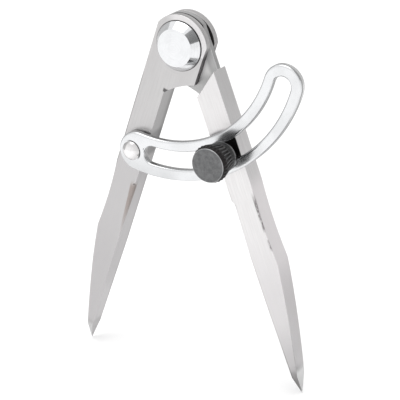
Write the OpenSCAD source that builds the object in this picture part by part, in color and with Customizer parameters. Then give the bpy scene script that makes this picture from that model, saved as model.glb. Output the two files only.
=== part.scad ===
// Wing divider: two pointed steel legs on a box-jointed pivot, a slotted wing that is
// riveted to the left leg, and a thumb screw on the right leg that clamps the wing.
// Millimetres. The pivot axis is the Y axis, +Z is up, and the front faces -Y. The origin
// is the middle of the flat rear face of the pivot nut.

/* [Legs] */
// Distance from the pivot axis to each point
leg_length = 138.4; // [134:0.1:150]
// Distance from the pivot axis to the outer edge of a leg
leg_w = 10.5; // [10.2:0.1:10.8]
// Full thickness of each leg
leg_t = 8.3; // [7.8:0.1:9.5]
// Angle between each leg and the centre line at rest
half_open = 20; // [19.5:0.1:21]
// Distance from the pivot axis to the inner edge of a leg
inner_gap = 0.3; // [0.2:0.05:0.5]

/* [Head joint] */
// Radius of the rounded top of the head
head_r = 11.4; // [11.2:0.1:12]
// Thickness of each of the two ears of the left leg
ear_t = 2.7; // [2.4:0.1:2.8]
// Thickness of a bronze friction washer
shim_t = 0.26; // [0.2:0.02:0.3]
// Outer radius of a friction washer
shim_r = 9; // [7:0.1:10]

/* [Pivot] */
// Radius of the pivot bolt's shank
pivot_r = 3.5; // [3:0.1:4]
// Radius of the bolt head where it meets the leg
cone_base_r = 9.1; // [8:0.1:10]
// Radius of the bolt head's flat face
cone_top_r = 6.9; // [5:0.1:7.5]
// Height of the bolt head
cone_h = 3.3; // [2.5:0.1:4]
// Height of the round nut at the back
nut_h = 2.6; // [2:0.1:3]

/* [Wing] */
// Thickness of the wing plate
wing_t = 3; // [2.5:0.1:3.2]
// Width of the wing plate
wing_band = 15.1; // [14.6:0.1:15.4]
// Radius of the middle of the wing plate
wing_r = 51.7; // [51.4:0.05:51.9]
// Width of the slot
slot_w = 6.8; // [6.7:0.05:7]
// Thickness of the washer between the wing and the leg
spacer_t = 0.5; // [0.3:0.1:1]

/* [Thumb screw] */
// Radius of the knob at its widest, just behind the face
knob_r = 7.1; // [6.5:0.1:7.6]
// Radius of the knob's flat face
face_r = 6.3; // [5.5:0.1:6.5]
// Radius of the plain collar at the back of the knob
collar_r = 5.7; // [5.5:0.1:6]
// Length of the knob
knob_l = 10.1; // [8:0.1:12]
// Number of grip grooves round the knob
knob_grooves = 30; // [20:1:36]
// Radius of the screw
stud_r = 1.5; // [1.4:0.05:1.55]
// Radius of the clamp washer
washer_r = 5.5; // [5.3:0.1:6]
// Thickness of the clamp washer
washer_t = 0.8; // [0.5:0.1:1.2]

/* [Hidden] */
$fn = 96;

// Planes across the thickness, from the nut's rear face at 0 towards the front.
leg_back = -nut_h;
leg_front = leg_back - leg_t;
wing_back = leg_front - spacer_t;
wing_front = wing_back - wing_t;

// The joint gap is a friction washer and its running clearance on both faces.
face_play = 0.02;
joint_gap = shim_t + 2 * face_play;
tongue_t = leg_t - 2 * (ear_t + joint_gap);
tongue_front = leg_front + ear_t + joint_gap;
tongue_back = tongue_front + tongue_t;
run_play = 0.04;

// Leg-local outline: x is the distance outwards from the pivot axis, y is minus the
// distance along the leg.
shoulder_in = 19.8;
shoulder_out = 11.3;
arch_r = 29.9;
arch_x = -23.4;
arch_y = -38.05;
relief_start = 59.5;
relief_deep = 61.5;
relief_end = 84;
relief_depth = 0.95;
relief_reach = 6;
waist_mid = 70;
waist_depth = 0.6;
waist_r = 187;
belly = 86;
taper_end = 130.6;
belly_slope = 0.1213;
belly_bend = 0.00125;
belly_steps = 12;
tip_w = 0.12;

// Thickness profile of a blade, as distances behind the front face.
front_taper_start = 100;
front_taper = 0.7;
back_taper_start = 90;
back_taper = 1.7;
tip_depth = 3.9;
tip_half_t = 0.06;

// Wing, thumb screw and rivet positions in the plane of the wing.
wing_cx = -6.1;
wing_cz = 8.4;
wing_start = -12.9;
wing_end = 72;
slot_cx = -4.54;
slot_cz = 6.58;
slot_r = 49.45;
slot_start = -7.4;
slot_end = 73;
rivet_x = -20;
rivet_z = -42.1;
rivet_r = 2;
rivet_head_r = 3.65;
rivet_head_h = 1.7;
rivet_tail_r = 3;
rivet_tail_h = 1;
spacer_r = 3.9;
end_step = 0.02;
screw_out = 5.4;
screw_along = 41.6;
screw_x = screw_along * sin(half_open) + screw_out * cos(half_open);
screw_z = screw_out * sin(half_open) - screw_along * cos(half_open);
clamp_play = 0.1;
washer_front = wing_front - clamp_play - washer_t;
knob_back = washer_front - face_play;
knob_collar = 2.2;
knob_chamfer = 2.15;
knob_edge = 0.2;
groove_r = 0.5;
groove_lift = 0.1;
groove_l = knob_l - knob_collar;
groove_tilt = atan((knob_r - collar_r) / (groove_l - knob_chamfer));
stud_seat = 6;
stud_chamfer = 0.3;
stud_back = leg_back - 0.8;

// A flat plate of the 2D outline, drawn in X and Z, from front_y back through thick.
module plate(front_y, thick) {
  translate([0, front_y + thick, 0])
    rotate([90, 0, 0])
      linear_extrude(thick)
        children();
}

// A straight cylinder along Y that starts at front_y and runs back.
module round_y(front_y, len, r) {
  translate([0, front_y, 0])
    rotate([-90, 0, 0])
      cylinder(h = len, r = r);
}

// A turned shape along Y: x is the radius and y the distance towards the front.
module turned_y(back_y) {
  translate([0, back_y, 0])
    rotate([90, 0, 0])
      rotate_extrude()
        children();
}

// Outer edge of a blade below its belly, s mm further along.
function belly_out(s) = leg_w - belly_slope * s - belly_bend * s * s;

// Full outline of a straight leg blank below the head, without the waist.
module blade_outline() {
  span = taper_end - belly;
  polygon(concat(
    [[inner_gap, 0], [leg_w, 0]],
    [for (i = [0:belly_steps]) [belly_out(i * span / belly_steps), -belly - i * span / belly_steps]],
    [[inner_gap + tip_w, -leg_length], [inner_gap, -leg_length]]
  ));
}

// The blade with the shallow ground waist above its belly.
module waisted_outline() {
  difference() {
    blade_outline();
    translate([leg_w - waist_depth + waist_r, -waist_mid])
      circle(r = waist_r, $fn = 720);
  }
}

// Rounded head with straight sides and an arched lower inner edge.
module head_outline() {
  difference() {
    union() {
      intersection() {
        circle(r = head_r);
        translate([-leg_w, 0])
          square([2 * leg_w, head_r]);
      }
      translate([-leg_w, -shoulder_in])
        square([2 * leg_w, shoulder_in]);
    }
    translate([arch_x, arch_y])
      circle(r = arch_r, $fn = 240);
  }
}

// The part of a leg below the slanted shoulder.
module below_shoulder() {
  polygon([[0, -shoulder_in], [leg_w + 1, -shoulder_out], [leg_w + 1, -leg_length - 1],
           [0, -leg_length - 1]]);
}

// Side view of a blade, extruded across its width: it thins towards the point.
module side_profile() {
  translate([-leg_w - 1, 0, 0])
    rotate([90, 0, 90])
      linear_extrude(2 * leg_w + 2)
        polygon([
          [leg_front, head_r + 1],
          [leg_front, -front_taper_start],
          [leg_front + front_taper, -taper_end],
          [leg_front + tip_depth - tip_half_t, -leg_length],
          [leg_front + tip_depth + tip_half_t, -leg_length],
          [leg_back - back_taper, -taper_end],
          [leg_back, -back_taper_start],
          [leg_back, head_r + 1]
        ]);
}

// Block that cuts the front inner edge at 45 degrees. It starts at the edge, from_y mm
// down the leg, and is relief_depth deep after len mm, up the leg or down it.
module edge_cut(from_y, len, up) {
  tilt = atan(relief_depth / len);
  translate([inner_gap, leg_front, -from_y])
    rotate([0, 0, 45])
      rotate([0, up ? tilt : -tilt, 0])
        translate([-relief_reach, -relief_reach, up ? 0 : -len])
          cube([relief_reach, 2 * relief_reach, len]);
}

// Blade below the shoulder, at full thickness at the top, with the long ground relief
// on its front inner edge.
module blade() {
  difference() {
    intersection() {
      plate(leg_front, leg_t)
        intersection() {
          waisted_outline();
          below_shoulder();
        }
      side_profile();
    }
    edge_cut(relief_end, relief_end - relief_deep, true);
    edge_cut(relief_start, relief_deep - relief_start, false);
  }
}

// One layer of the head joint: the rounded head and the strip that joins it to the blade.
module head_layer() {
  head_outline();
  intersection() {
    waisted_outline();
    translate([0, -shoulder_in - 1])
      square([leg_w, shoulder_in]);
  }
}

// Stands the leg-local shape of the right leg at its rest angle.
module lean_right() {
  rotate([0, -half_open, 0])
    children();
}

module left_leg() {
  color([0.70, 0.70, 0.69])
    difference() {
      mirror([1, 0, 0])
        lean_right()
          union() {
            blade();
            plate(leg_front, ear_t)
              head_layer();
            plate(leg_back - ear_t, ear_t)
              head_layer();
          }
      round_y(leg_front - 1, leg_t + 2, pivot_r + run_play);
      translate([rivet_x, 0, rivet_z])
        rivet_hole();
    }
}

// Straight hole for the wing rivet with a countersink in the leg's back face.
module rivet_hole() {
  round_y(leg_front - 1, leg_t + 2, rivet_r + run_play);
  turned_y(leg_back)
    polygon([[0, 0], [rivet_tail_r + run_play, 0], [rivet_r + run_play, rivet_tail_h], [0, rivet_tail_h]]);
}

module right_leg() {
  color([0.82, 0.82, 0.81])
    difference() {
      lean_right()
        union() {
          blade();
          plate(tongue_front, tongue_t)
            head_layer();
        }
      round_y(leg_front - 1, leg_t + 2, pivot_r + run_play);
      translate([screw_x, 0, screw_z])
        round_y(leg_front - 1, leg_t + 2, stud_r + run_play);
    }
}

module pivot_bolt() {
  color([0.86, 0.87, 0.90])
    turned_y(0)
      polygon([
        [0, 0], [pivot_r - 0.3, 0], [pivot_r, 0.3], [pivot_r, -leg_front],
        [cone_base_r, -leg_front], [cone_base_r, 0.4 - leg_front],
        [cone_top_r, cone_h - leg_front], [0, cone_h - leg_front]
      ]);
}

module pivot_nut() {
  color([0.84, 0.85, 0.88])
    turned_y(0)
      polygon([
        [pivot_r + run_play, 0], [cone_top_r, 0], [cone_base_r, nut_h - 0.4],
        [cone_base_r, nut_h], [pivot_r + run_play, nut_h]
      ]);
}

// A bronze friction washer on the pivot bolt.
module shim(front_y) {
  color([0.55, 0.40, 0.22])
    difference() {
      round_y(front_y, shim_t, shim_r);
      round_y(front_y - 1, shim_t + 2, pivot_r + run_play);
    }
}

module front_shim() {
  shim(leg_front + ear_t + face_play);
}

module rear_shim() {
  shim(tongue_back + face_play);
}

// Sector of a ring between two angles, measured from straight down towards +X.
module ring_sector(r, width, from_a, to_a) {
  fan = (to_a - from_a) / 4;
  intersection() {
    difference() {
      circle(r = r + width / 2, $fn = 360);
      circle(r = r - width / 2, $fn = 360);
    }
    polygon(concat(
      [[0, 0]],
      [for (i = [0:4]) 1.5 * r * [sin(from_a + i * fan), -cos(from_a + i * fan)]]
    ));
  }
}

// A curved band with round ends, each a hair narrower than the band so that their arcs cross.
module round_band(r, width, from_a, to_a) {
  ring_sector(r, width, from_a, to_a);
  for (a = [from_a, to_a])
    translate([r * sin(a), -r * cos(a)])
      circle(r = width / 2 - end_step);
}

module wing_plate() {
  color([0.88, 0.89, 0.92])
    difference() {
      plate(wing_front, wing_t)
        difference() {
          translate([wing_cx, wing_cz])
            round_band(wing_r, wing_band, wing_start, wing_end);
          translate([slot_cx, slot_cz])
            round_band(slot_r, slot_w, slot_start, slot_end);
        }
      translate([rivet_x, 0, rivet_z])
        round_y(wing_front - 1, wing_t + 2, rivet_r + run_play);
    }
}

module wing_spacer() {
  color([0.75, 0.76, 0.78])
    translate([rivet_x, 0, rivet_z])
      difference() {
        round_y(wing_back, spacer_t, spacer_r);
        round_y(wing_back - 1, spacer_t + 2, rivet_r + run_play);
      }
}

// Domed rivet through the wing, the spacer and the left leg, flush at the back.
module wing_rivet() {
  head_back = leg_back - wing_front;
  dome_r = (rivet_head_r * rivet_head_r + rivet_head_h * rivet_head_h) / (2 * rivet_head_h);
  color([0.80, 0.80, 0.82])
    translate([rivet_x, 0, rivet_z])
      turned_y(leg_back)
        union() {
          polygon([
            [0, 0], [rivet_tail_r, 0], [rivet_r, rivet_tail_h],
            [rivet_r, head_back + 0.1], [0, head_back + 0.1]
          ]);
          intersection() {
            translate([0, head_back + rivet_head_h - dome_r])
              circle(r = dome_r);
            translate([0, head_back])
              square([rivet_head_r + 1, rivet_head_h + 1]);
          }
        }
}

// Knob with a chamfered front, grip grooves along its cone and a plain rear collar.
module thumb_knob() {
  color([0.16, 0.16, 0.17])
    translate([screw_x, 0, screw_z])
      difference() {
        turned_y(knob_back)
          polygon([
            [0, 0], [collar_r - knob_edge, 0], [collar_r, knob_edge], [collar_r, knob_collar],
            [knob_r, knob_l - knob_chamfer], [face_r, knob_l], [0, knob_l]
          ]);
        for (i = [0:knob_grooves - 1])
          rotate([0, i * 360 / knob_grooves, 0])
            translate([collar_r + groove_lift, knob_back - knob_collar, 0])
              rotate([0, 0, groove_tilt])
                round_y(-groove_l, groove_l, groove_r, $fn = 24);
        round_y(knob_back - stud_seat, stud_seat + 1, stud_r + run_play);
      }
}

module thumb_stud() {
  color([0.30, 0.30, 0.31])
    translate([screw_x, 0, screw_z])
      turned_y(stud_back)
        polygon([
          [0, 0], [stud_r - stud_chamfer, 0], [stud_r, stud_chamfer],
          [stud_r, stud_back - knob_back + stud_seat], [0, stud_back - knob_back + stud_seat]
        ]);
}

module clamp_washer() {
  color([0.45, 0.45, 0.46])
    translate([screw_x, 0, screw_z])
      difference() {
        round_y(washer_front, washer_t, washer_r);
        round_y(washer_front - 1, washer_t + 2, stud_r + run_play);
      }
}

left_leg();
right_leg();
pivot_bolt();
pivot_nut();
front_shim();
rear_shim();
wing_plate();
wing_spacer();
wing_rivet();
thumb_knob();
thumb_stud();
clamp_washer();
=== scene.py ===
"""Looks of the wing divider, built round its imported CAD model. Metres, in the CAD frame."""

import math

import bmesh
import bpy
from mathutils import Euler, Matrix, Vector


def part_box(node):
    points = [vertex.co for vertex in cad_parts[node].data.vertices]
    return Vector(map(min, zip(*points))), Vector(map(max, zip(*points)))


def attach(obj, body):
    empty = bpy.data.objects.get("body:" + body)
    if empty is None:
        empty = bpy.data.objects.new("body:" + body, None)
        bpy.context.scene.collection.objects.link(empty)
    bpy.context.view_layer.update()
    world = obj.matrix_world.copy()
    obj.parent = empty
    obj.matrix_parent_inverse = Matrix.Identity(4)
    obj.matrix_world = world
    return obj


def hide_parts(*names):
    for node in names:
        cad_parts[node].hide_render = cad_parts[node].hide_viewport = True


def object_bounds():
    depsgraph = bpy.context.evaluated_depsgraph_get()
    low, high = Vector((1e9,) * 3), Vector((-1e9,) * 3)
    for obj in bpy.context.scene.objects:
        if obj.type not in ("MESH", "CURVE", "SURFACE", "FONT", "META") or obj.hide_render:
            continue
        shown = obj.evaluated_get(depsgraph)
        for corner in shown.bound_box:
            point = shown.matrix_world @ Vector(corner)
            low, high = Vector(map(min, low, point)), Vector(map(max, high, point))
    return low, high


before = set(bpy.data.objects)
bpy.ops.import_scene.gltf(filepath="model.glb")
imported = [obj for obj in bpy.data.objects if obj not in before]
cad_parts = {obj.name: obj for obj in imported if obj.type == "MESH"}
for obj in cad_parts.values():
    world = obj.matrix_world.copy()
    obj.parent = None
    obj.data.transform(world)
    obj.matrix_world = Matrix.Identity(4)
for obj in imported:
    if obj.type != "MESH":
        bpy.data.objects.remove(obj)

CAD_LOW, CAD_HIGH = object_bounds()
MM = 0.001

# The legs, in millimetres and as the CAD model has them. A leg's own axes are x across it, away
# from the other leg, y towards the back and z up along it, from the pivot's axis.
HALF_OPEN = math.radians(20)
LEG_SIDES = {"left_leg": -1, "right_leg": 1}
LEG_LENGTH = 138.4
# Where a leg's inner and outer edges lie across it, and how thick an ear of the left head is.
INNER_EDGE, OUTER_EDGE, EAR = 0.3, 10.5, 2.7
# The slanted shoulder under the right leg's tongue: how far down it is at x = 0, and its slope.
SHOULDER_IN, SHOULDER_SLOPE = 19.8, 0.739
# The relief ground on the left leg's inner edge: where it is full, where it ends, its width.
RELIEF_FULL, RELIEF_END, RELIEF_SIDE = 61.5, 84.0, 1.34
# The taper at a blade's back: where it starts, how deep it gets, and where the point starts.
REAR_TAPER_START, REAR_TAPER, TIP_START = 90.0, 1.7, 130.6
# The way the right leg's outer edge faces, in the frame.
OUTWARD = (math.cos(HALF_OPEN), 0, math.sin(HALF_OPEN))

# Heights on a leg where its look changes, and the radius just outside the bolt's head.
ARCH_TOP, WALL_TOP, WING_FOOT, TIP = -19.0, -15.0, -50.0, -130.0
RING_R = 9.3

# The middle of the wing's arcs, and of its round right end.
WING_ARC = Vector((-6.1, 0, 8.4))
WING_END = Vector((43.1, 0, -7.6))

# Radii of the bolt and its nut, and radii and lengths of the thumb knob.
BOLT_R, BORE_R, BOLT_FACE_R = 3.5, 3.54, 6.9
KNOB_R, KNOB_FACE_R, KNOB_COLLAR_R = 7.1, 6.3, 5.7
KNOB_CHAMFER, KNOB_GRIP, KNOB_COLLAR = 2.15, 5.75, 2.2
KNOB_SLOPE = (KNOB_R - KNOB_COLLAR_R) / KNOB_GRIP

# Tints, and the colours of the dark marks.
WARM = (1.0, 0.985, 0.985)
COOL = (0.975, 0.985, 1.0)
PINK = (1.0, 0.975, 0.985)
ROSE = (1.0, 0.965, 0.975)
BRONZE = (1.0, 0.74, 0.40)
# The near black below is painted shade in gaps, grooves and corners, and the knob's painted reflection
# and shadow on the right leg.
PAINTED_BLACK = (0.02, 0.018, 0.018)
# The dark grey below is painted shade on the left ear's side face next to the tongue.
EAR_SIDE_SHADE = (0.105, 0.098, 0.100)
RELIEF_BROWN = (0.33, 0.28, 0.26)
SCRATCH = (0.13, 0.115, 0.12)


# ---------------------------------------------------------------- places from the frame

def centre_of(node):
    """Middle of a CAD node's box."""
    low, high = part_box(node)
    return (low + high) / 2


def radius_of(node):
    """Half the width of a CAD node's box, in millimetres."""
    low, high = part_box(node)
    return (high.x - low.x) / 2 / MM


def ends_of(node):
    """The front and the back of a CAD node's box, in millimetres."""
    low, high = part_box(node)
    return low.y / MM, high.y / MM


# ---------------------------------------------------------------- mesh helpers

def new_piece(name, bm, body, nodes, materials):
    """Makes a mesh object from bm, rides it on its body and lets it stand for its CAD nodes."""
    mesh = bpy.data.meshes.new(name)
    bm.to_mesh(mesh)
    bm.free()
    for finish in materials:
        mesh.materials.append(finish)
    piece = bpy.data.objects.new(name, mesh)
    bpy.context.scene.collection.objects.link(piece)
    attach(piece, body)
    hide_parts(*nodes)
    return piece


def smooth_piece(piece, smooth_below):
    """Smooth shading, with a crease wherever two faces meet at more than the angle."""
    mesh = piece.data
    mesh.polygons.foreach_set("use_smooth", [True] * len(mesh.polygons))
    mesh.set_sharp_from_angle(angle=math.radians(smooth_below))
    mesh.update()


def cad_copy(node, merge=0.03):
    """A bmesh of a CAD node with flat faces joined and hair-thin steps merged away."""
    same_plane = math.radians(0.4)
    bm = bmesh.new()
    bm.from_mesh(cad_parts[node].data)
    bmesh.ops.remove_doubles(bm, verts=bm.verts, dist=merge * MM)
    bmesh.ops.dissolve_limit(bm, angle_limit=same_plane, verts=bm.verts, edges=bm.edges)
    return bm


def weigh_edges(bm, weight_at):
    """Gives sharp edges a bevel weight by place, and creases the ones that stay unrounded."""
    sharp, crease = 50, 12
    layer = bm.edges.layers.float.new("bevel_weight_edge")
    for face in bm.faces:
        face.smooth = True
    for edge in bm.edges:
        angle = math.degrees(edge.calc_face_angle(0))
        if angle > sharp:
            edge[layer] = weight_at((edge.verts[0].co + edge.verts[1].co) / 2)
            edge.smooth = edge[layer] > 0
        else:
            edge.smooth = angle < crease


def round_edges(piece, width, segments):
    """Rounds the edges that carry a bevel weight, and keeps the flats flat in the shading."""
    bevel = piece.modifiers.new("rounded_edges", "BEVEL")
    bevel.width = width * MM
    bevel.segments = segments
    bevel.limit_method = "WEIGHT"
    bevel.use_clamp_overlap = False
    bevel.material = len(piece.data.materials) - 1
    normals = piece.modifiers.new("flat_faces", "WEIGHTED_NORMAL")
    normals.keep_sharp = True


def filleted(points, radius):
    """The corner points of an open profile with each inner corner rounded to the radius."""
    steps, straight, longest = 5, 88, 0.48
    rounded = [points[0]]
    for before, corner, after in zip(points, points[1:], points[2:]):
        corner = Vector(corner)
        back = Vector(before) - corner
        ahead = Vector(after) - corner
        half = back.angle(ahead) / 2
        reach = radius / math.tan(half)
        if math.degrees(half) > straight or reach > longest * min(back.length, ahead.length):
            rounded.append(tuple(corner))
            continue
        back.normalize()
        ahead.normalize()
        start, end = corner + back * reach, corner + ahead * reach
        middle = corner + (back + ahead).normalized() * radius / math.sin(half)
        for i in range(steps + 1):
            arm = (start - middle).lerp(end - middle, i / steps).normalized() * radius
            rounded.append(tuple(middle + arm))
    rounded.append(points[-1])
    return rounded


def add_ring(bm, centre, y, radii):
    """A ring of vertices round an axis along Y, with one radius for each, in millimetres."""
    ring = []
    for i, radius in enumerate(radii):
        turn = 2 * math.pi * i / len(radii)
        x = centre.x + radius * MM * math.cos(turn)
        z = centre.z + radius * MM * math.sin(turn)
        ring.append(bm.verts.new((x, y * MM, z)))
    return ring


def join_rings(bm, one, two, finish=0):
    """A strip of faces between two rings. A ring may be one vertex on the axis."""
    count = max(len(one), len(two))
    for i in range(count):
        corners = [
            one[i % len(one)], one[(i + 1) % len(one)], two[(i + 1) % len(two)], two[i % len(two)]]
        strip = bm.faces.new(list(dict.fromkeys(corners)))
        strip.material_index = finish


def turned(profile, centre, segments):
    """A turned solid round an axis along Y: profile is a list of (radius, y) in millimetres."""
    bm = bmesh.new()
    rings = []
    for radius, y in profile:
        if radius == 0:
            rings.append([bm.verts.new((centre.x, y * MM, centre.z))])
        else:
            rings.append(add_ring(bm, centre, y, [radius] * segments))
    for one, two in zip(rings, rings[1:]):
        join_rings(bm, one, two)
    if len(rings[0]) > 1:
        join_rings(bm, rings[-1], rings[0])
    bmesh.ops.recalc_face_normals(bm, faces=bm.faces)
    return bm


# ---------------------------------------------------------------- shader helpers

def add(tree, kind, inputs=None, **settings):
    """Adds a node with settings, links or sets its inputs, and returns it."""
    made = tree.nodes.new(kind)
    for key, value in settings.items():
        setattr(made, key, value)
    for key, value in (inputs or {}).items():
        if isinstance(value, bpy.types.NodeSocket):
            tree.links.new(value, made.inputs[key])
        else:
            made.inputs[key].default_value = value
    return made


def calc(tree, operation, a, b=0.0):
    """A Math node's result."""
    return add(tree, "ShaderNodeMath", {0: a, 1: b}, operation=operation).outputs[0]


def times(tree, *factors):
    """The product of several values."""
    product = factors[0]
    for factor in factors[1:]:
        product = calc(tree, "MULTIPLY", product, factor)
    return product


def remap(tree, value, low, high, to_low, to_high, smooth=True):
    """value from low..high to to_low..to_high, held at the ends."""
    kind = "SMOOTHSTEP" if smooth else "LINEAR"
    inputs = {"Value": value, "From Min": low, "From Max": high, "To Min": to_low, "To Max": to_high}
    return add(tree, "ShaderNodeMapRange", inputs, interpolation_type=kind).outputs["Result"]


def fade(tree, value, off, on, most=1.0):
    """0 where value is at off or past it, rising to most where value is at on."""
    return remap(tree, value, off, on, 0.0, most)


def between(tree, value, low, low_full, high_full, high, most=1.0):
    """most where value is from low_full to high_full, falling to 0 at low and at high."""
    return times(tree, fade(tree, value, low, low_full, most), fade(tree, value, high, high_full))


def distance(tree, value, place):
    """How far value is from a place, on either side of it."""
    return calc(tree, "ABSOLUTE", calc(tree, "SUBTRACT", value, place))


def noise(tree, vector, scale, detail, roughness=0.55):
    """A noise pattern's value, about 0.5 in the middle."""
    inputs = {"Vector": vector, "Scale": scale, "Detail": detail, "Roughness": roughness}
    return add(tree, "ShaderNodeTexNoise", inputs).outputs[0]


def grey(level, tint=(1.0, 1.0, 1.0)):
    """A grey of the level, coloured by the tint."""
    return tuple(level * part for part in tint)


def mix(tree, factor, a, b):
    """Colour a where factor is 0, and b where it is 1."""
    made = add(tree, "ShaderNodeMix", data_type="RGBA")
    for index, value in ((0, factor), (6, a), (7, b)):
        if isinstance(value, bpy.types.NodeSocket):
            tree.links.new(value, made.inputs[index])
        elif isinstance(value, tuple):
            made.inputs[index].default_value = (*value, 1.0)
        else:
            made.inputs[index].default_value = value
    return made.outputs[2]


def combine(tree, x, y, z):
    """A vector of three values."""
    return add(tree, "ShaderNodeCombineXYZ", {0: x, 1: y, 2: z}).outputs[0]


def local_space(tree, origin=(0, 0, 0), turn=0.0, side=1):
    """Sockets x, y and z in millimetres from origin. A leg's own axes have a turn and a side."""
    where = add(tree, "ShaderNodeTexCoord").outputs["Object"]
    moved = add(tree, "ShaderNodeVectorMath", {0: where, 1: tuple(origin)}, operation="SUBTRACT")
    scale = (side / MM, 1 / MM, 1 / MM)
    inputs = {"Vector": moved.outputs[0], "Rotation": (0, turn, 0), "Scale": scale}
    placed = add(tree, "ShaderNodeMapping", inputs)
    apart = add(tree, "ShaderNodeSeparateXYZ", {0: placed.outputs[0]})
    return apart.outputs[0], apart.outputs[1], apart.outputs[2]


def polar(tree, x, z):
    """Distance from the Y axis, and the angle round it."""
    squares = calc(tree, "ADD", times(tree, x, x), times(tree, z, z))
    return calc(tree, "SQRT", squares), calc(tree, "ARCTAN2", z, x)


def polar_from(tree, x, z, middle):
    """Distance from an axis along Y through middle, and the angle round it."""
    return polar(tree, calc(tree, "SUBTRACT", x, middle.x), calc(tree, "SUBTRACT", z, middle.z))


def facing_of(tree, direction):
    """How far a surface faces a direction of the frame: 1 when straight at it."""
    inputs = {0: add(tree, "ShaderNodeTexCoord").outputs["Normal"], 1: direction}
    return add(tree, "ShaderNodeVectorMath", inputs, operation="DOT_PRODUCT").outputs["Value"]


def material(name, metallic, look, anisotropic=0.0):
    """A metal. look(tree) gives its colour, its roughness, its height and the height's depth."""
    made = bpy.data.materials.new(name)
    made.use_nodes = True
    tree = made.node_tree
    shader = tree.nodes["Principled BSDF"]
    shader.inputs["Metallic"].default_value = metallic
    shader.inputs["Anisotropic"].default_value = anisotropic
    colour, roughness, height, depth = look(tree)
    tree.links.new(colour, shader.inputs["Base Color"])
    tree.links.new(roughness, shader.inputs["Roughness"])
    bump = add(tree, "ShaderNodeBump", {"Height": height, "Strength": 1.0, "Distance": depth * MM})
    tree.links.new(bump.outputs["Normal"], shader.inputs["Normal"])
    return made


# ---------------------------------------------------------------- steel of the legs

class LegSpot:
    """Sockets for a place on a leg, in its own axes and millimetres, and for the grain there."""

    def __init__(self, x, y, z, streak, broad):
        self.x, self.y, self.z = x, y, z
        self.streak, self.broad = streak, broad


def leg_grain(tree, side):
    """Brushed ground steel: streaks down the leg, and rings round the pivot on the head."""
    x, y, z = local_space(tree, turn=HALF_OPEN, side=side)
    radius, angle = polar(tree, x, z)
    down = combine(tree, x, y, calc(tree, "MULTIPLY", z, 0.03))
    rings = combine(tree, radius, calc(tree, "MULTIPLY", angle, 0.4), 0.0)
    on_head = remap(tree, radius, 10.0, 12.5, 1.0, 0.0)
    straight = noise(tree, down, 2.2, 6.0, 0.7)
    round_marks = noise(tree, rings, 2.4, 6.0, 0.7)
    streak = add(tree, "ShaderNodeMix", {0: on_head, 2: straight, 3: round_marks}).outputs[0]
    stretched = combine(tree, calc(tree, "MULTIPLY", x, 0.3), y, calc(tree, "MULTIPLY", z, 0.06))
    return LegSpot(x, y, z, streak, noise(tree, stretched, 0.8, 3.0))


def leg_steel(name, side, level, marks):
    """Bare ground steel of one leg, rougher inside the head and at the point.

    marks adds that leg's own stains to its colour.
    """
    front, _ = ends_of("left_leg")

    def look(tree):
        spot = leg_grain(tree, side)
        light, dark = grey(min(level * 1.075, 1.0), WARM), grey(level * 0.905, WARM)
        colour = mix(tree, fade(tree, spot.streak, 0.25, 0.75), dark, light)
        colour = mix(tree, fade(tree, spot.broad, 0.35, 0.65, 0.3), colour, grey(level * 0.90, PINK))
        if side < 0:
            below_wing = fade(tree, spot.z, WING_FOOT + 4, WING_FOOT - 6, 0.6)
            colour = mix(tree, below_wing, colour, grey(level * 0.88, PINK))
        lower = fade(tree, spot.z, -72.0, -100.0, 0.8)
        colour = mix(tree, lower, colour, grey(level * 0.86, PINK))
        colour = marks(tree, colour, spot)
        above = fade(tree, above_shoulder(tree, spot), 0.0, 0.3)
        on_tongue = times(tree, above, fade(tree, spot.y, front + 1.0, front + 1.5, 0.38))
        rough = remap(tree, spot.streak, 0.3, 0.7, 0.30, 0.42)
        rough = calc(tree, "ADD", rough, on_tongue)
        rough = calc(tree, "ADD", rough, fade(tree, spot.z, TIP + 3, TIP, 0.35))
        return colour, rough, spot.streak, 0.012
    return material(name, 1.0, look, anisotropic=0.35)


def worn_edge(name, side, level, marks):
    """The rounded edges of a leg: the same steel, rubbed brighter and smoother."""
    def look(tree):
        spot = leg_grain(tree, side)
        light, dark = grey(min(level * 1.1, 1.0), WARM), grey(level * 0.95, WARM)
        colour = mix(tree, fade(tree, spot.streak, 0.3, 0.7), dark, light)
        colour = marks(tree, colour, spot)
        return colour, remap(tree, spot.broad, 0.3, 0.7, 0.22, 0.34), spot.streak, 0.006
    return material(name, 1.0, look)


def above_shoulder(tree, spot):
    """Height over the slanted shoulder line of a leg, in millimetres."""
    line = calc(tree, "SUBTRACT", SHOULDER_IN, calc(tree, "MULTIPLY", spot.x, SHOULDER_SLOPE))
    return calc(tree, "ADD", spot.z, line)


def leg_point(point, side):
    """A point of the frame in a leg's own axes, in millimetres."""
    own = Vector((point.x * side, point.y, point.z)) / MM
    own.rotate(Euler((0, HALF_OPEN, 0)))
    return own


def left_marks(tree, colour, spot):
    """The left leg's marks, from its head down to its point."""
    front, back = ends_of("left_leg")
    on_front = fade(tree, spot.y, front + 0.3, front + 0.1)
    colour = bolt_marks(tree, colour, spot, on_front)
    colour = ear_marks(tree, colour, spot, front, back)
    colour = wall_marks(tree, colour, spot, front, back)
    colour = left_face_marks(tree, colour, spot, on_front)
    return relief_streak(tree, colour, spot, front)


def right_marks(tree, colour, spot):
    """The right leg's marks, from its tongue down to its point."""
    front, _ = ends_of("right_leg")
    on_front = fade(tree, spot.y, front + 0.3, front + 0.1)
    colour = tongue_marks(tree, colour, spot, front)
    colour = knob_reflection_on_leg(tree, colour, spot, on_front)
    colour = right_blade_marks(tree, colour, spot)
    return ridge_scratches(tree, colour, spot, front)


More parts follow.
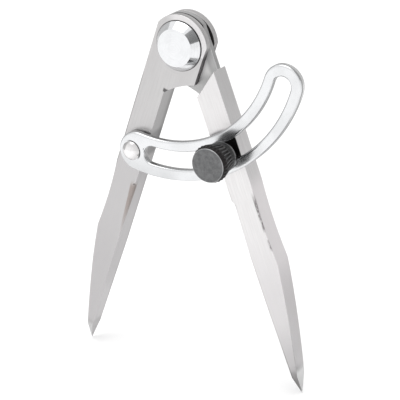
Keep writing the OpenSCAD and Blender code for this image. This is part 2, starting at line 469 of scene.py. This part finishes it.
def bolt_marks(tree, colour, spot, on_front):
    """A painted highlight in a ring on the head outside the bolt, and painted shade in the groove round
    the bolt.
    """
    radius, angle = polar(tree, spot.x, spot.z)
    # Painted highlight: a brighter arc on the head's face beside the bolt.
    ring = times(tree, fade(tree, radius, RING_R, RING_R + 0.3), fade(tree, angle, 0.7, 1.2))
    colour = mix(tree, times(tree, ring, on_front, 0.9), colour, grey(0.76, (1.0, 0.98, 0.985)))
    # Painted shade in the crevice round the bolt's head.
    groove = between(tree, radius, RING_R - 0.4, RING_R - 0.25, RING_R, RING_R + 0.2, 0.85)
    return mix(tree, times(tree, groove, on_front), colour, PAINTED_BLACK)


def ear_marks(tree, colour, spot, front, back):
    """Painted shade in the gaps between the ears and the tongue, and on the ears' flank beside the
    tongue.
    """
    _, angle = polar(tree, spot.x, spot.z)
    # Painted shade in the gaps on both sides of the tongue.
    rear_gap = times(
        tree, fade(tree, distance(tree, spot.y, back - EAR), 0.20, 0.04, 0.95),
        fade(tree, spot.z, ARCH_TOP - 0.5, ARCH_TOP + 0.5), remap(tree, spot.x, -2.5, -5.5, 0.15, 1.0))
    colour = mix(tree, rear_gap, colour, PAINTED_BLACK)
    front_gap = times(
        tree, fade(tree, distance(tree, spot.y, front + EAR - 0.1), 0.30, 0.12, 0.85),
        between(tree, angle, 0.5, 0.9, 2.0, 2.3))
    colour = mix(tree, front_gap, colour, PAINTED_BLACK)
    # Painted shade on the ear's side face next to the tongue.
    flank = times(
        tree, fade(tree, spot.x, -OUTER_EDGE + 0.25, -OUTER_EDGE + 0.05), fade(tree, spot.z, 4.0, 0.0),
        remap(tree, spot.streak, 0.3, 0.8, 1.0, 0.75), 0.95)
    return mix(tree, flank, colour, EAR_SIDE_SHADE)


def wall_marks(tree, colour, spot, front, back):
    """The left leg's inner wall: painted shade under the head, its own grey on the blade, dark at the
    rear edge.

    Painted shade fills the corner under the head's arch.
    """
    wall = times(
        tree, fade(tree, spot.x, INNER_EDGE + 0.3, INNER_EDGE + 0.05),
        fade(tree, spot.z, WALL_TOP + 1, WALL_TOP - 1))
    # Painted shade on the upper inner wall, below the head.
    upper_wall_shade = times(
        tree, wall, fade(tree, spot.z, WING_FOOT + 2, WING_FOOT + 8),
        fade(tree, spot.y, front + 4.5, back, 0.4))
    colour = mix(tree, upper_wall_shade, colour, grey(0.10))
    lower = times(tree, wall, fade(tree, spot.z, WING_FOOT, WING_FOOT - 4, 0.9))
    down_blade = fade(tree, spot.z, -70.0, -105.0)
    colour = mix(tree, lower, colour, mix(tree, down_blade, grey(0.60, PINK), grey(0.53, PINK)))
    rear = remap(tree, spot.z, -TIP_START, -REAR_TAPER_START, back - REAR_TAPER, back, smooth=False)
    rear_line = times(
        tree, wall, fade(tree, calc(tree, "SUBTRACT", rear, spot.y), 1.1, 0.2, 0.5),
        fade(tree, spot.z, WING_FOOT, WING_FOOT - 8))
    colour = mix(tree, rear_line, colour, grey(0.15))
    # Painted shade in the corner under the head's arch.
    corner = times(
        tree, between(tree, spot.z, ARCH_TOP - 0.7, ARCH_TOP - 0.2, ARCH_TOP + 0.6, ARCH_TOP + 1.4, 0.8),
        fade(tree, spot.y, back - 2.0, back - 3.5), fade(tree, spot.x, 1.0, 0.6))
    return mix(tree, corner, colour, PAINTED_BLACK)


def left_face_marks(tree, colour, spot, on_front):
    """A darker line down the outer edge, a painted highlight on the outer facet at the point, painted
    shade behind the wing.
    """
    outer_line = times(
        tree, fade(tree, spot.x, OUTER_EDGE - 0.5, OUTER_EDGE - 0.2, 0.5), on_front,
        between(tree, spot.z, -86.0, -58.0, -20.0, -14.0))
    colour = mix(tree, outer_line, colour, grey(0.12))
    # Painted highlight: the point is drawn lighter, most on the facets that face outwards.
    outward = facing_of(tree, (-OUTWARD[0], 0, OUTWARD[2]))
    tip = times(tree, fade(tree, spot.z, TIP + 1.5, TIP - 1), remap(tree, outward, -0.6, 0.2, 0.2, 0.9))
    colour = mix(tree, tip, colour, grey(0.66))
    behind_wing = between(
        tree, spot.z, WING_FOOT, WING_FOOT + 3, WING_FOOT + 11, WING_FOOT + 14, 0.45)
    return mix(tree, times(tree, behind_wing, fade(tree, spot.x, 4.0, 2.5)), colour, grey(0.12))


def ragged(tree, value, spot, amount):
    """value, moved to and fro by the steel's streaks."""
    return calc(tree, "ADD", value, times(tree, calc(tree, "SUBTRACT", spot.streak, 0.5), amount))


def relief_streak(tree, colour, spot, front):
    """Brown streak along the ground relief of the left leg's front inner edge."""
    across_edge = calc(tree, "SUBTRACT", spot.x, INNER_EDGE)
    from_edge = calc(tree, "ADD", across_edge, calc(tree, "SUBTRACT", spot.y, front))
    width = remap(tree, spot.z, -RELIEF_END, -RELIEF_FULL, 0.25, RELIEF_SIDE, smooth=False)
    inside = calc(tree, "DIVIDE", from_edge, width)
    across = fade(tree, ragged(tree, inside, spot, 0.8), 1.6, 1.25)
    along = between(
        tree, spot.z, -RELIEF_END - 4.0, -RELIEF_FULL - 6.0, -RELIEF_FULL - 1.5, -RELIEF_FULL + 2.2)
    return mix(tree, times(tree, across, along, 0.85), colour, RELIEF_BROWN)


def tongue_marks(tree, colour, spot, front):
    """The tongue: a painted highlight on its face and painted shade on its grey rim, painted shade
    outwards and downwards on the face, and painted shade in the gap beside the ear.
    """
    above = fade(tree, above_shoulder(tree, spot), 0.0, 0.3)
    tongue = times(tree, above, fade(tree, spot.y, front + 1.0, front + 1.5))
    forward = calc(tree, "ABSOLUTE", facing_of(tree, (0, -1, 0)))
    face, rim = fade(tree, forward, 0.6, 0.8), fade(tree, forward, 0.5, 0.3, 0.9)
    # Painted highlight on the tongue's forward face.
    colour = mix(tree, times(tree, tongue, face, 0.5), colour, grey(0.97))
    # Painted shade on the tongue's face, growing outwards and downwards.
    outwards, downwards = fade(tree, spot.x, 6.0, 8.2, 0.8), fade(tree, spot.z, -11.2, -14.5, 0.7)
    dull = times(tree, tongue, face, calc(tree, "MAXIMUM", outwards, downwards))
    greys = mix(tree, fade(tree, spot.streak, 0.3, 0.7), grey(0.46), grey(0.60))
    colour = mix(tree, dull, colour, greys)
    # Painted shade on the tongue's rim, the faces that do not look forward.
    colour = mix(tree, times(tree, tongue, rim), colour, grey(0.44))
    # Painted shade in the gap between the tongue and the front ear.
    gap = distance(tree, spot.y, front + EAR + 0.3)
    painted_dark = times(tree, fade(tree, gap, 0.20, 0.04, 0.95), fade(tree, spot.z, -3.0, -1.0))
    return mix(tree, painted_dark, colour, PAINTED_BLACK)


def knob_reflection_on_leg(tree, colour, spot, on_front):
    """Painted reflection and shadow of the black knob on the right leg's face round the thumb screw,
    down to just below the screw.
    """
    hole = leg_point(centre_of("thumb_stud"), LEG_SIDES["right_leg"])
    over_hole = calc(tree, "SUBTRACT", spot.z, hole.z)
    away, _ = polar(tree, calc(tree, "SUBTRACT", spot.x, hole.x), over_hole)
    painted_dark = times(tree, fade(tree, away, 9.5, 6.8, 0.97), fade(tree, over_hole, -4.5, -1.0), on_front)
    return mix(tree, painted_dark, colour, PAINTED_BLACK)


def right_blade_marks(tree, colour, spot):
    """The right blade: painted light on its pinkish outer flank, darker downwards and white at the
    point, a darker end and a dark inner edge.
    """
    outward = facing_of(tree, OUTWARD)
    # Painted light on the outer flank, chosen by the way it faces: pinkish, darker downwards, white at
    # the point.
    down_flank = remap(tree, spot.z, -82.0, -120.0, 0.0, 1.0, smooth=False)
    flank = mix(tree, down_flank, grey(0.86, ROSE), grey(0.57, PINK))
    flank = mix(tree, fade(tree, spot.z, TIP + 3, TIP), flank, grey(1.0))
    on_flank = times(tree, fade(tree, outward, 0.5, 0.8), fade(tree, spot.z, WING_FOOT, WING_FOOT - 8))
    colour = mix(tree, on_flank, colour, flank)
    on_face = fade(tree, outward, 0.6, 0.3)
    end_darkening = times(tree, on_face, fade(tree, spot.z, TIP + 24, TIP + 6, 0.75))
    colour = mix(tree, end_darkening, colour, grey(0.54, PINK))
    inner_line = times(
        tree, on_face, fade(tree, spot.x, INNER_EDGE + 0.55, INNER_EDGE + 0.15),
        fade(tree, spot.z, WING_FOOT, WING_FOOT - 8), remap(tree, spot.z, TIP + 14, TIP + 6, 0.3, 0.85),
        remap(tree, spot.z, TIP - 5, TIP - 1, 0.4, 1.0))
    return mix(tree, inner_line, colour, grey(0.16))


def ridge_scratches(tree, colour, spot, front):
    """Dark grinding marks along the right leg's front outer ridge: a long one and a short one."""
    inwards = calc(tree, "SUBTRACT", OUTER_EDGE - 0.55, spot.x)
    from_ridge = calc(tree, "SUBTRACT", inwards, calc(tree, "SUBTRACT", front, spot.y))
    reach = remap(tree, spot.z, -74.5, -73.5, 0.45, 0.85)
    past_reach = calc(tree, "SUBTRACT", ragged(tree, from_ridge, spot, 1.6), reach)
    across = fade(tree, past_reach, 0.0, -0.5)
    long_mark = between(tree, spot.z, -74.0, -71.0, -63.0, -57.0)
    short_mark = between(tree, spot.z, -81.0, -79.5, -77.0, -75.5)
    along = calc(tree, "MAXIMUM", long_mark, short_mark)
    speckle = noise(tree, combine(tree, spot.x, spot.y, spot.z), 1.7, 3.0, 0.6)
    speckle = remap(tree, speckle, 0.48, 0.62, 1.0, 0.35)
    return mix(tree, times(tree, across, along, speckle, 0.85), colour, SCRATCH)


# ---------------------------------------------------------------- other metals

def wing_plating():
    """Bright satin zinc: faint clouds and fine scuffs, with painted shade at the left end's lower edge.
    """
    def look(tree):
        x, y, z = local_space(tree)
        place = combine(tree, x, y, z)
        cloud = noise(tree, place, 0.12, 3.0)
        scuff = noise(tree, place, 3.0, 7.0, 0.75)
        colour = mix(tree, fade(tree, cloud, 0.35, 0.65), grey(0.74, COOL), grey(0.80, COOL))
        colour = mix(tree, fade(tree, scuff, 0.55, 0.75, 0.35), colour, grey(0.66, COOL))
        colour = wing_shade_and_reflection(tree, colour, x, z)
        colour = wing_rims(tree, colour, x, y, z, scuff)
        sweep, _ = polar_from(tree, x, z, WING_ARC)
        # Painted shade along the left end's lower edge.
        low_edge = times(tree, fade(tree, sweep, 53.0, 59.0, 0.4), fade(tree, x, 4.0, -6.0))
        colour = mix(tree, low_edge, colour, grey(0.50, COOL))
        return colour, remap(tree, scuff, 0.3, 0.7, 0.16, 0.26), scuff, 0.004
    return material("wing_zinc", 1.0, look)


def wing_shade_and_reflection(tree, colour, x, z):
    """Painted shade against the rivet's upper right side, and a painted reflection of the knob above the
    thumb screw.
    """
    away, turn = polar_from(tree, x, z, centre_of("wing_rivet") / MM)
    rivet_shade = times(tree, fade(tree, away, 4.35, 4.0, 0.95), between(tree, turn, -0.9, -0.4, 1.5, 2.1))
    colour = mix(tree, rivet_shade, colour, grey(0.04))
    away, turn = polar_from(tree, x, z, centre_of("thumb_stud") / MM)
    knob_reflection_on_wing = times(tree, fade(tree, away, 12.5, 7.5, 0.5), between(tree, turn, 0.55, 1.15, 1.5, 2.3))
    return mix(tree, knob_reflection_on_wing, colour, grey(0.15))


def wing_rims(tree, colour, x, y, z, scuff):
    """Painted shade on the wing's rolled edges and its sides below them. The right end's side carries a
    painted highlight, with a line.
    """
    front, back = ends_of("wing_plate")
    thick = back - front
    depth = calc(tree, "SUBTRACT", y, front)
    # Painted shade on the rolled edges.
    rolled = between(tree, depth, 0.02, 0.35, thick - 0.2, thick - 0.02, 0.5)
    colour = mix(tree, rolled, colour, grey(0.60, COOL))
    # The sides are painted dark as shade, and the right end's side is painted light as a highlight.
    away, turn = polar_from(tree, x, z, WING_END)
    bright = times(tree, fade(tree, away, 6.0, 6.8), between(tree, turn, -0.9, -0.3, 1.35, 1.75))
    side_tone = mix(tree, bright, mix(tree, scuff, grey(0.34), grey(0.60)), grey(0.92))
    side = between(tree, depth, 0.5, 1.0, thick - 0.1, thick - 0.02, 0.95)
    colour = mix(tree, side, colour, side_tone)
    line = times(tree, bright, between(tree, depth, 0.35, 0.5, 0.75, 0.95, 0.7))
    return mix(tree, line, colour, grey(0.22))


def turned_metal(name, centre, level, tint, rough, ring_depth, shade_rim=None):
    """Turned metal round an axis along Y: tool rings and clouds, with painted shade growing out to the
    given rim radius.
    """
    def look(tree):
        x, y, z = local_space(tree, origin=centre)
        radius, angle = polar(tree, x, z)
        rings = noise(tree, combine(tree, radius, calc(tree, "MULTIPLY", angle, 0.15), y), 5.0, 5.0, 0.7)
        cloud = noise(tree, combine(tree, x, y, z), 0.6, 4.0)
        light, dark = grey(min(level * 1.04, 1.0), tint), grey(level * 0.93, tint)
        colour = mix(tree, fade(tree, rings, 0.3, 0.7), dark, light)
        colour = mix(tree, fade(tree, cloud, 0.45, 0.7, 0.3), colour, grey(level * 0.85, tint))
        if shade_rim:
            # Painted shade, darker towards the rim.
            outer = fade(tree, radius, shade_rim * 0.3, shade_rim, 0.6)
            colour = mix(tree, outer, colour, grey(level * 0.55, tint))
        return colour, remap(tree, cloud, 0.3, 0.7, rough * 0.8, rough * 1.25), rings, ring_depth
    return material(name, 1.0, look)


def knob_skin(name, centre, low, high, rough, depth, rib_highlight=0.0):
    """Black oxide: mottled, with light specks of wear. Where a rib highlight level is given, the ribs'
    tops get a painted highlight and the grooves painted shade.
    """
    _, back = ends_of("thumb_knob")
    back -= centre.y / MM

    def look(tree):
        x, y, z = local_space(tree, origin=centre)
        radius, angle = polar(tree, x, z)
        place = combine(tree, x, y, z)
        mottle = noise(tree, place, 0.9, 6.0, 0.65)
        speck = noise(tree, place, 5.0, 4.0, 0.7)
        colour = mix(tree, fade(tree, mottle, 0.3, 0.7), grey(low, COOL), grey(high, COOL))
        if rib_highlight:
            along = calc(tree, "SUBTRACT", back, y)
            rise = calc(tree, "MULTIPLY", along, KNOB_SLOPE)
            cone = calc(tree, "ADD", KNOB_COLLAR_R - KNOB_COLLAR * KNOB_SLOPE, rise)
            under = calc(tree, "SUBTRACT", radius, cone)
            on_grip = fade(tree, along, KNOB_COLLAR, KNOB_COLLAR + 0.5)
            # Painted highlight on the ribs' tops, and painted shade in the grooves between them.
            on_top = times(tree, on_grip, fade(tree, under, -0.22, -0.02))
            in_groove = times(tree, on_grip, fade(tree, under, -0.08, -0.25, 0.95))
            colour = mix(tree, on_top, colour, grey(rib_highlight, COOL))
            colour = mix(tree, in_groove, colour, PAINTED_BLACK)
        colour = mix(tree, fade(tree, speck, 0.62, 0.8, 0.5), colour, grey(high * 1.8, COOL))
        rings = noise(tree, combine(tree, radius, calc(tree, "MULTIPLY", angle, 0.2), y), 3.0, 4.0, 0.7)
        height = calc(tree, "ADD", times(tree, rings, 0.6), times(tree, speck, 0.4))
        return colour, remap(tree, mottle, 0.3, 0.7, rough * 0.85, rough * 1.15), height, depth
    return material(name, 0.85, look)


# ---------------------------------------------------------------- pieces

def leg_piece(node, body, steel, edge):
    """A leg with rounded edges that grow finer towards its point, from cut to cut."""
    cuts = (60, 85, 108, 120, 128, 133, 136)
    hole, hole_weight = 4, 0.4
    finest, fine_reach = 0.12, 25
    bm = cad_copy(node)
    down = Vector((LEG_SIDES[node] * math.sin(HALF_OPEN), 0, -math.cos(HALF_OPEN)))
    for along in cuts:
        every = bm.verts[:] + bm.edges[:] + bm.faces[:]
        bmesh.ops.bisect_plane(bm, geom=every, plane_co=down * along * MM, plane_no=down)

    def weight_at(point):
        if math.hypot(point.x, point.z) < hole * MM:
            return hole_weight
        to_point = LEG_LENGTH - point.dot(down) / MM
        return max(finest, min(1.0, to_point / fine_reach))

    weigh_edges(bm, weight_at)
    piece = new_piece(node + "_finished", bm, body, [node], [steel, edge])
    round_edges(piece, width=0.14, segments=3)


def wing_piece(plating):
    """The slotted wing with its rolled edges. Its rivet hole stays sharp."""
    hole = centre_of("wing_rivet")
    hole_reach = 3 * MM
    bm = cad_copy("wing_plate", merge=0.06)

    def weight_at(point):
        return 0.0 if math.hypot(point.x - hole.x, point.z - hole.z) < hole_reach else 1.0

    weigh_edges(bm, weight_at)
    piece = new_piece("wing_plate_finished", bm, "fixed_leg", ["wing_plate"], [plating])
    round_edges(piece, width=0.95, segments=6)


def flat_ring(node, body, finish, edge):
    """A flat washer with its sharp edges broken."""
    bm = cad_copy(node)
    weigh_edges(bm, lambda point: 1.0)
    piece = new_piece(node + "_finished", bm, body, [node], [finish])
    round_edges(piece, width=edge, segments=2)


def pivot_bolt(chrome):
    """Bolt with a coned head on a narrower neck, a chamfered tail and a dimple in the tail."""
    front, back = ends_of("pivot_bolt")
    seat, _ = ends_of("left_leg")
    rim, tail = radius_of("pivot_bolt"), 0.3
    dimple, dimple_depth = 0.6, 0.15
    neck, neck_height = rim - 0.4, 0.18
    rim_low, rim_high = 0.28, 0.45
    profile = [
        (0, back - dimple_depth), (dimple, back - dimple_depth), (dimple + dimple_depth, back),
        (BOLT_R - tail, back), (BOLT_R, back - tail), (BOLT_R, seat),
        (neck, seat), (neck, seat - neck_height), (rim, seat - rim_low), (rim, seat - rim_high),
        (BOLT_FACE_R, front), (0, front)]
    bm = turned(filleted(profile, radius=0.25), Vector((0, 0, 0)), segments=160)
    piece = new_piece("pivot_bolt_finished", bm, "fixed_leg", ["pivot_bolt"], [chrome])
    smooth_piece(piece, smooth_below=20)


def pivot_nut(chrome):
    """Round nut at the back, with a broad chamfer."""
    front, back = ends_of("pivot_nut")
    rim, plain, chamfer = radius_of("pivot_nut"), 0.4, 0.3
    profile = [
        (BORE_R, front), (rim, front), (rim, front + plain),
        (BOLT_FACE_R, back), (BORE_R + chamfer, back), (BORE_R, back - chamfer)]
    closed = filleted(profile + [profile[0]], radius=0.22)[:-1]
    bm = turned(closed, Vector((0, 0, 0)), segments=160)
    piece = new_piece("pivot_nut_finished", bm, "fixed_leg", ["pivot_nut"], [chrome])
    smooth_piece(piece, smooth_below=20)


def wing_rivet(finish):
    """Rivet with a domed head, and a tail that flares into the leg's back."""
    front, back = ends_of("wing_rivet")
    seat, _ = ends_of("wing_plate")
    head, height = radius_of("wing_rivet"), seat - front
    shank, tail, tail_height, steps = 2.0, 3.0, 1.0, 14
    sphere = (head * head + height * height) / (2 * height)
    reach = math.asin(head / sphere)
    profile = [(0, back), (tail, back), (shank, back - tail_height), (shank, seat)]
    for i in range(steps):
        slope = reach * (1 - i / steps)
        profile.append((sphere * math.sin(slope), front + sphere - sphere * math.cos(slope)))
    profile.append((0, front))
    bm = turned(profile, centre_of("wing_rivet"), segments=96)
    piece = new_piece("wing_rivet_finished", bm, "fixed_leg", ["wing_rivet"], [finish])
    smooth_piece(piece, smooth_below=30)


def knob_profile():
    """Rows of the knob's grip, rim and face: radius, y and how deep the grooves are cut there.

    They run from the bore, out over the collar and the ribs, and in to the middle of the face.
    """
    front, back = ends_of("thumb_knob")
    widest, wide = radius_of("thumb_knob"), front + KNOB_CHAMFER
    bore, bore_depth = radius_of("thumb_stud") + 0.06, 6.0
    edge, hollow = 0.3, 0.04
    collar, chamfer = back - KNOB_COLLAR, (widest - KNOB_FACE_R) / KNOB_CHAMFER

    def on_cone(rise, cut):
        """A row on the ribbed cone, a little in front of the collar."""
        return KNOB_COLLAR_R + rise * KNOB_SLOPE, collar - rise, cut

    def on_chamfer(drop, cut):
        """A row on the chamfer, in front of the widest place."""
        return widest - drop * chamfer, wide - drop, cut

    grip = [
        (bore, back - bore_depth, 0), (bore, back - edge, 0), (bore + edge, back, 0),
        (KNOB_COLLAR_R - edge, back, 0), (KNOB_COLLAR_R - 0.08, back - 0.08, 0),
        (KNOB_COLLAR_R, back - edge, 0), (KNOB_COLLAR_R, collar + 0.12, 0),
        on_cone(0, 0.15), on_cone(0.3, 0.8), on_cone(0.6, 1.0),
        (widest - 0.25 * KNOB_SLOPE, wide + 0.25, 1.0), (widest - 0.04, wide, 0.95),
        on_chamfer(0.3, 0.8), on_chamfer(1.1, 0.22), on_chamfer(1.5, 0)]
    rim = [
        (KNOB_FACE_R + 0.16 * chamfer, front + 0.16, 0), (KNOB_FACE_R, front + 0.06, 0),
        (KNOB_FACE_R - 0.1, front, 0)]
    face = [
        (KNOB_FACE_R - 0.18, front, 0), (KNOB_FACE_R - 0.4, front + 0.03, 0),
        (widest * 0.4, front + hollow, 0), (0, front + hollow, 0)]
    return grip, rim, face


def thumb_knob(face_black, grip_black, rim_highlight):
    """Coned knob: flat face with a painted highlight on its rim, a chamfer, rounded ribs and a plain
    collar.
    """
    ribs, per_rib, groove, sharpness = 30, 12, 0.5, 0.9
    centre = centre_of("thumb_knob")
    grip, rim, face = knob_profile()
    on_face, on_grip, on_rim = 0, 1, 2
    finishes = [on_grip] * len(grip) + [on_rim] * len(rim) + [on_face] * len(face)
    waves = [(0.5 - 0.5 * math.cos(2 * math.pi * i / per_rib)) ** sharpness for i in range(per_rib)]
    bm = bmesh.new()
    rings = []
    for radius, y, cut in grip + rim + face:
        radii = [radius - groove * cut * wave for wave in waves * ribs]
        rings.append(add_ring(bm, centre, y, radii))
    for one, two, finish in zip(rings, rings[1:], finishes):
        join_rings(bm, one, two, finish)
    bmesh.ops.remove_doubles(bm, verts=rings[-1], dist=0.001 * MM)
    bmesh.ops.contextual_create(bm, geom=rings[0])
    bmesh.ops.recalc_face_normals(bm, faces=bm.faces)
    blacks = [face_black, grip_black, rim_highlight]
    piece = new_piece("thumb_knob_finished", bm, "thumb_screw", ["thumb_knob"], blacks)
    smooth_piece(piece, smooth_below=40)


def threaded_stud(finish):
    """Screw with a real right-hand M3 thread, run out at both ends."""
    pitch, depth, run_out, end_taper = 0.5, 0.28, 0.6, 0.35
    rows_per_turn, steps = 8, 48
    flank, crest = 1.35, 0.15
    front, back = ends_of("thumb_stud")
    radius, length = radius_of("thumb_stud"), back - front
    rows = int(length / pitch * rows_per_turn)
    bm = bmesh.new()
    rings = []
    for row in range(rows + 1):
        along = length * row / rows
        full = min(1.0, along / run_out, (length - along) / run_out)
        radii = []
        for i in range(steps):
            phase = (along / pitch - i / steps) % 1.0
            cut = max(0.0, min(1.0, (1 - abs(2 * phase - 1)) * flank - crest))
            radii.append(radius - depth * cut - end_taper * (1 - full))
        rings.append(add_ring(bm, centre_of("thumb_stud"), front + along, radii))
    for one, two in zip(rings, rings[1:]):
        join_rings(bm, one, two)
    for end in (rings[0], rings[-1]):
        bm.faces.new(end)
    bmesh.ops.recalc_face_normals(bm, faces=bm.faces)
    piece = new_piece("thumb_stud_finished", bm, "thumb_screw", ["thumb_stud"], [finish])
    smooth_piece(piece, smooth_below=50)


# ---------------------------------------------------------------- studio

def plane(name, width, height, place):
    """A flat rectangle, linked into the scene."""
    mesh = bpy.data.meshes.new(name)
    w, h = width / 2, height / 2
    mesh.from_pydata([(-w, -h, 0), (w, -h, 0), (w, h, 0), (-w, h, 0)], [], [(0, 1, 2, 3)])
    made = bpy.data.objects.new(name, mesh)
    made.location = place
    bpy.context.scene.collection.objects.link(made)
    return made


def card(name, centre, facing, size, levels, span=(0.0, 1.0)):
    """A card that only reflections see. Its level changes from its foot to its top, over the span."""
    width, height = size
    made = plane(name, width, height, centre)
    made.rotation_euler = Vector(facing).to_track_quat("Z", "Y").to_euler()
    finish = bpy.data.materials.new(name)
    finish.use_nodes = True
    tree = finish.node_tree
    tree.nodes.clear()
    place = add(tree, "ShaderNodeSeparateXYZ", {0: add(tree, "ShaderNodeTexCoord").outputs["Object"]})
    up = calc(tree, "ADD", calc(tree, "DIVIDE", place.outputs[1], height), 0.5)
    level = remap(tree, up, *span, *levels)
    glow = add(tree, "ShaderNodeEmission", {"Color": (1, 1, 1, 1), "Strength": level})
    add(tree, "ShaderNodeOutputMaterial", {"Surface": glow.outputs[0]})
    made.data.materials.append(finish)
    made.visible_camera = False
    made.visible_diffuse = False
    made.visible_shadow = False


def floor():
    """A plain white floor under the two points."""
    side = 12.0
    made = plane("floor", side, side, (0, 0, CAD_LOW.z))
    finish = bpy.data.materials.new("floor_white")
    finish.use_nodes = True
    shader = finish.node_tree.nodes["Principled BSDF"]
    shader.inputs["Base Color"].default_value = (0.95, 0.95, 0.95, 1)
    shader.inputs["Roughness"].default_value = 0.9
    made.data.materials.append(finish)


def soft_light(name, centre, aim, size, power):
    """A round area lamp that points at aim."""
    lamp = bpy.data.lights.new(name, "AREA")
    lamp.shape = "DISK"
    lamp.size = size
    lamp.energy = power
    made = bpy.data.objects.new(name, lamp)
    bpy.context.scene.collection.objects.link(made)
    made.location = centre
    made.rotation_euler = (Vector(aim) - Vector(centre)).to_track_quat("-Z", "Y").to_euler()


def studio():
    """White surroundings and floor, a soft lamp, and the cards that the polished parts reflect."""
    scene = bpy.context.scene
    world = bpy.data.worlds.new("studio")
    world.use_nodes = True
    sky = world.node_tree.nodes["Background"]
    sky.inputs["Color"].default_value = (1, 1, 1, 1)
    sky.inputs["Strength"].default_value = 1.04
    scene.world = world
    scene.view_settings.view_transform = "Standard"
    scene.view_settings.look = "None"
    floor()
    soft_light("overhead", (-0.2, -0.25, 1.0), (0, 0, -0.05), size=0.9, power=3.4)
    back, left, up, right = (0, -1, 0), (1, -0.2, 0), (0, 0, 1), (-1, 0.4, -0.6)
    card("grey_back", (0.03, 0.16, 0.06), back, (0.75, 0.38), levels=(0.78, 0.56), span=(0.20, 0.32))
    card("grey_left", (-0.34, 0.02, 0.06), left, (0.35, 0.38), levels=(0.62, 0.62))
    card("grey_floor", (0.03, 0.11, -0.1292), up, (0.75, 0.18), levels=(0.62, 0.96), span=(0.45, 0.95))
    card("flag_high", (0.26, -0.13, 0.20), right, (0.16, 0.30), levels=(0.22, 0.32))
    card("flag_low", (0.078, -0.032, -0.1290), up, (0.075, 0.088), levels=(0.36, 0.50))


def camera():
    """The camera stands to the right of the front and above, turned a little on its lens."""
    azimuth, elevation, roll = math.radians(30.922), math.radians(22.6216), math.radians(-1.35025)
    distance = 542.461 * MM
    aim = Vector((7.2626, -10.9, -57.888)) * MM
    level = math.cos(elevation)
    back = Vector((math.sin(azimuth) * level, -math.cos(azimuth) * level, math.sin(elevation)))
    right = Vector((0, 0, 1)).cross(back).normalized()
    up = back.cross(right)
    x_axis = right * math.cos(roll) + up * math.sin(roll)
    y_axis = up * math.cos(roll) - right * math.sin(roll)
    lens = bpy.data.cameras.new("camera")
    lens.lens = 132.816
    lens.sensor_width = 36.0
    lens.clip_start, lens.clip_end = 0.01, 50.0
    made = bpy.data.objects.new("camera", lens)
    bpy.context.scene.collection.objects.link(made)
    place = Matrix((x_axis, y_axis, back)).transposed().to_4x4()
    place.translation = aim + back * distance
    made.matrix_world = place
    bpy.context.scene.camera = made


# ---------------------------------------------------------------- the object

camera()
studio()

# The left leg's lower level is painted shade: both legs are the same steel, drawn darker on the left.
legs = (("left_leg", "fixed_leg", 0.57, left_marks), ("right_leg", "moving_leg", 0.765, right_marks))
for node, body, level, marks in legs:
    steel = leg_steel(node + "_steel", LEG_SIDES[node], level, marks)
    edge = worn_edge(node + "_edge", LEG_SIDES[node], level, marks)
    leg_piece(node, body, steel, edge)
wing_piece(wing_plating())

pivot = Vector((0, 0, 0))
chrome = turned_metal("pivot_chrome", pivot, level=0.82, tint=COOL, rough=0.115, ring_depth=0.0015)
pivot_bolt(chrome)
pivot_nut(chrome)
rivet_nickel = turned_metal(
    "rivet_nickel", centre_of("wing_rivet"), level=0.90, tint=WARM, rough=0.16, ring_depth=0.003,
    shade_rim=3.6)
wing_rivet(rivet_nickel)

knob_centre = centre_of("thumb_knob")
# The face copy is lighter than the grip: partly the face's turned finish, partly painted light on the
# face; the rim copy is a painted highlight.
thumb_knob(
    knob_skin("knob_face_black", knob_centre, low=0.118, high=0.20, rough=0.45, depth=0.006),
    knob_skin(
        "knob_grip_black", knob_centre, low=0.038, high=0.068, rough=0.42, depth=0.006, rib_highlight=0.125),
    knob_skin("knob_rim_highlight", knob_centre, low=0.30, high=0.42, rough=0.35, depth=0.004))
screw_steel = turned_metal(
    "screw_dark_steel", knob_centre, level=0.22, tint=COOL, rough=0.35, ring_depth=0.004)
threaded_stud(screw_steel)
washer_steel = turned_metal(
    "washer_steel", knob_centre, level=0.28, tint=COOL, rough=0.3, ring_depth=0.004)
flat_ring("clamp_washer", "clamp", washer_steel, edge=0.12)

bronze = turned_metal("shim_bronze", pivot, level=0.45, tint=BRONZE, rough=0.4, ring_depth=0.003)
for shim in ("front_shim", "rear_shim"):
    flat_ring(shim, "fixed_leg", bronze, edge=0.04)
spacer_steel = turned_metal(
    "spacer_steel", centre_of("wing_spacer"), level=0.6, tint=WARM, rough=0.3, ring_depth=0.004)
flat_ring("wing_spacer", "fixed_leg", spacer_steel, edge=0.1)

bpy.context.view_layer.update()
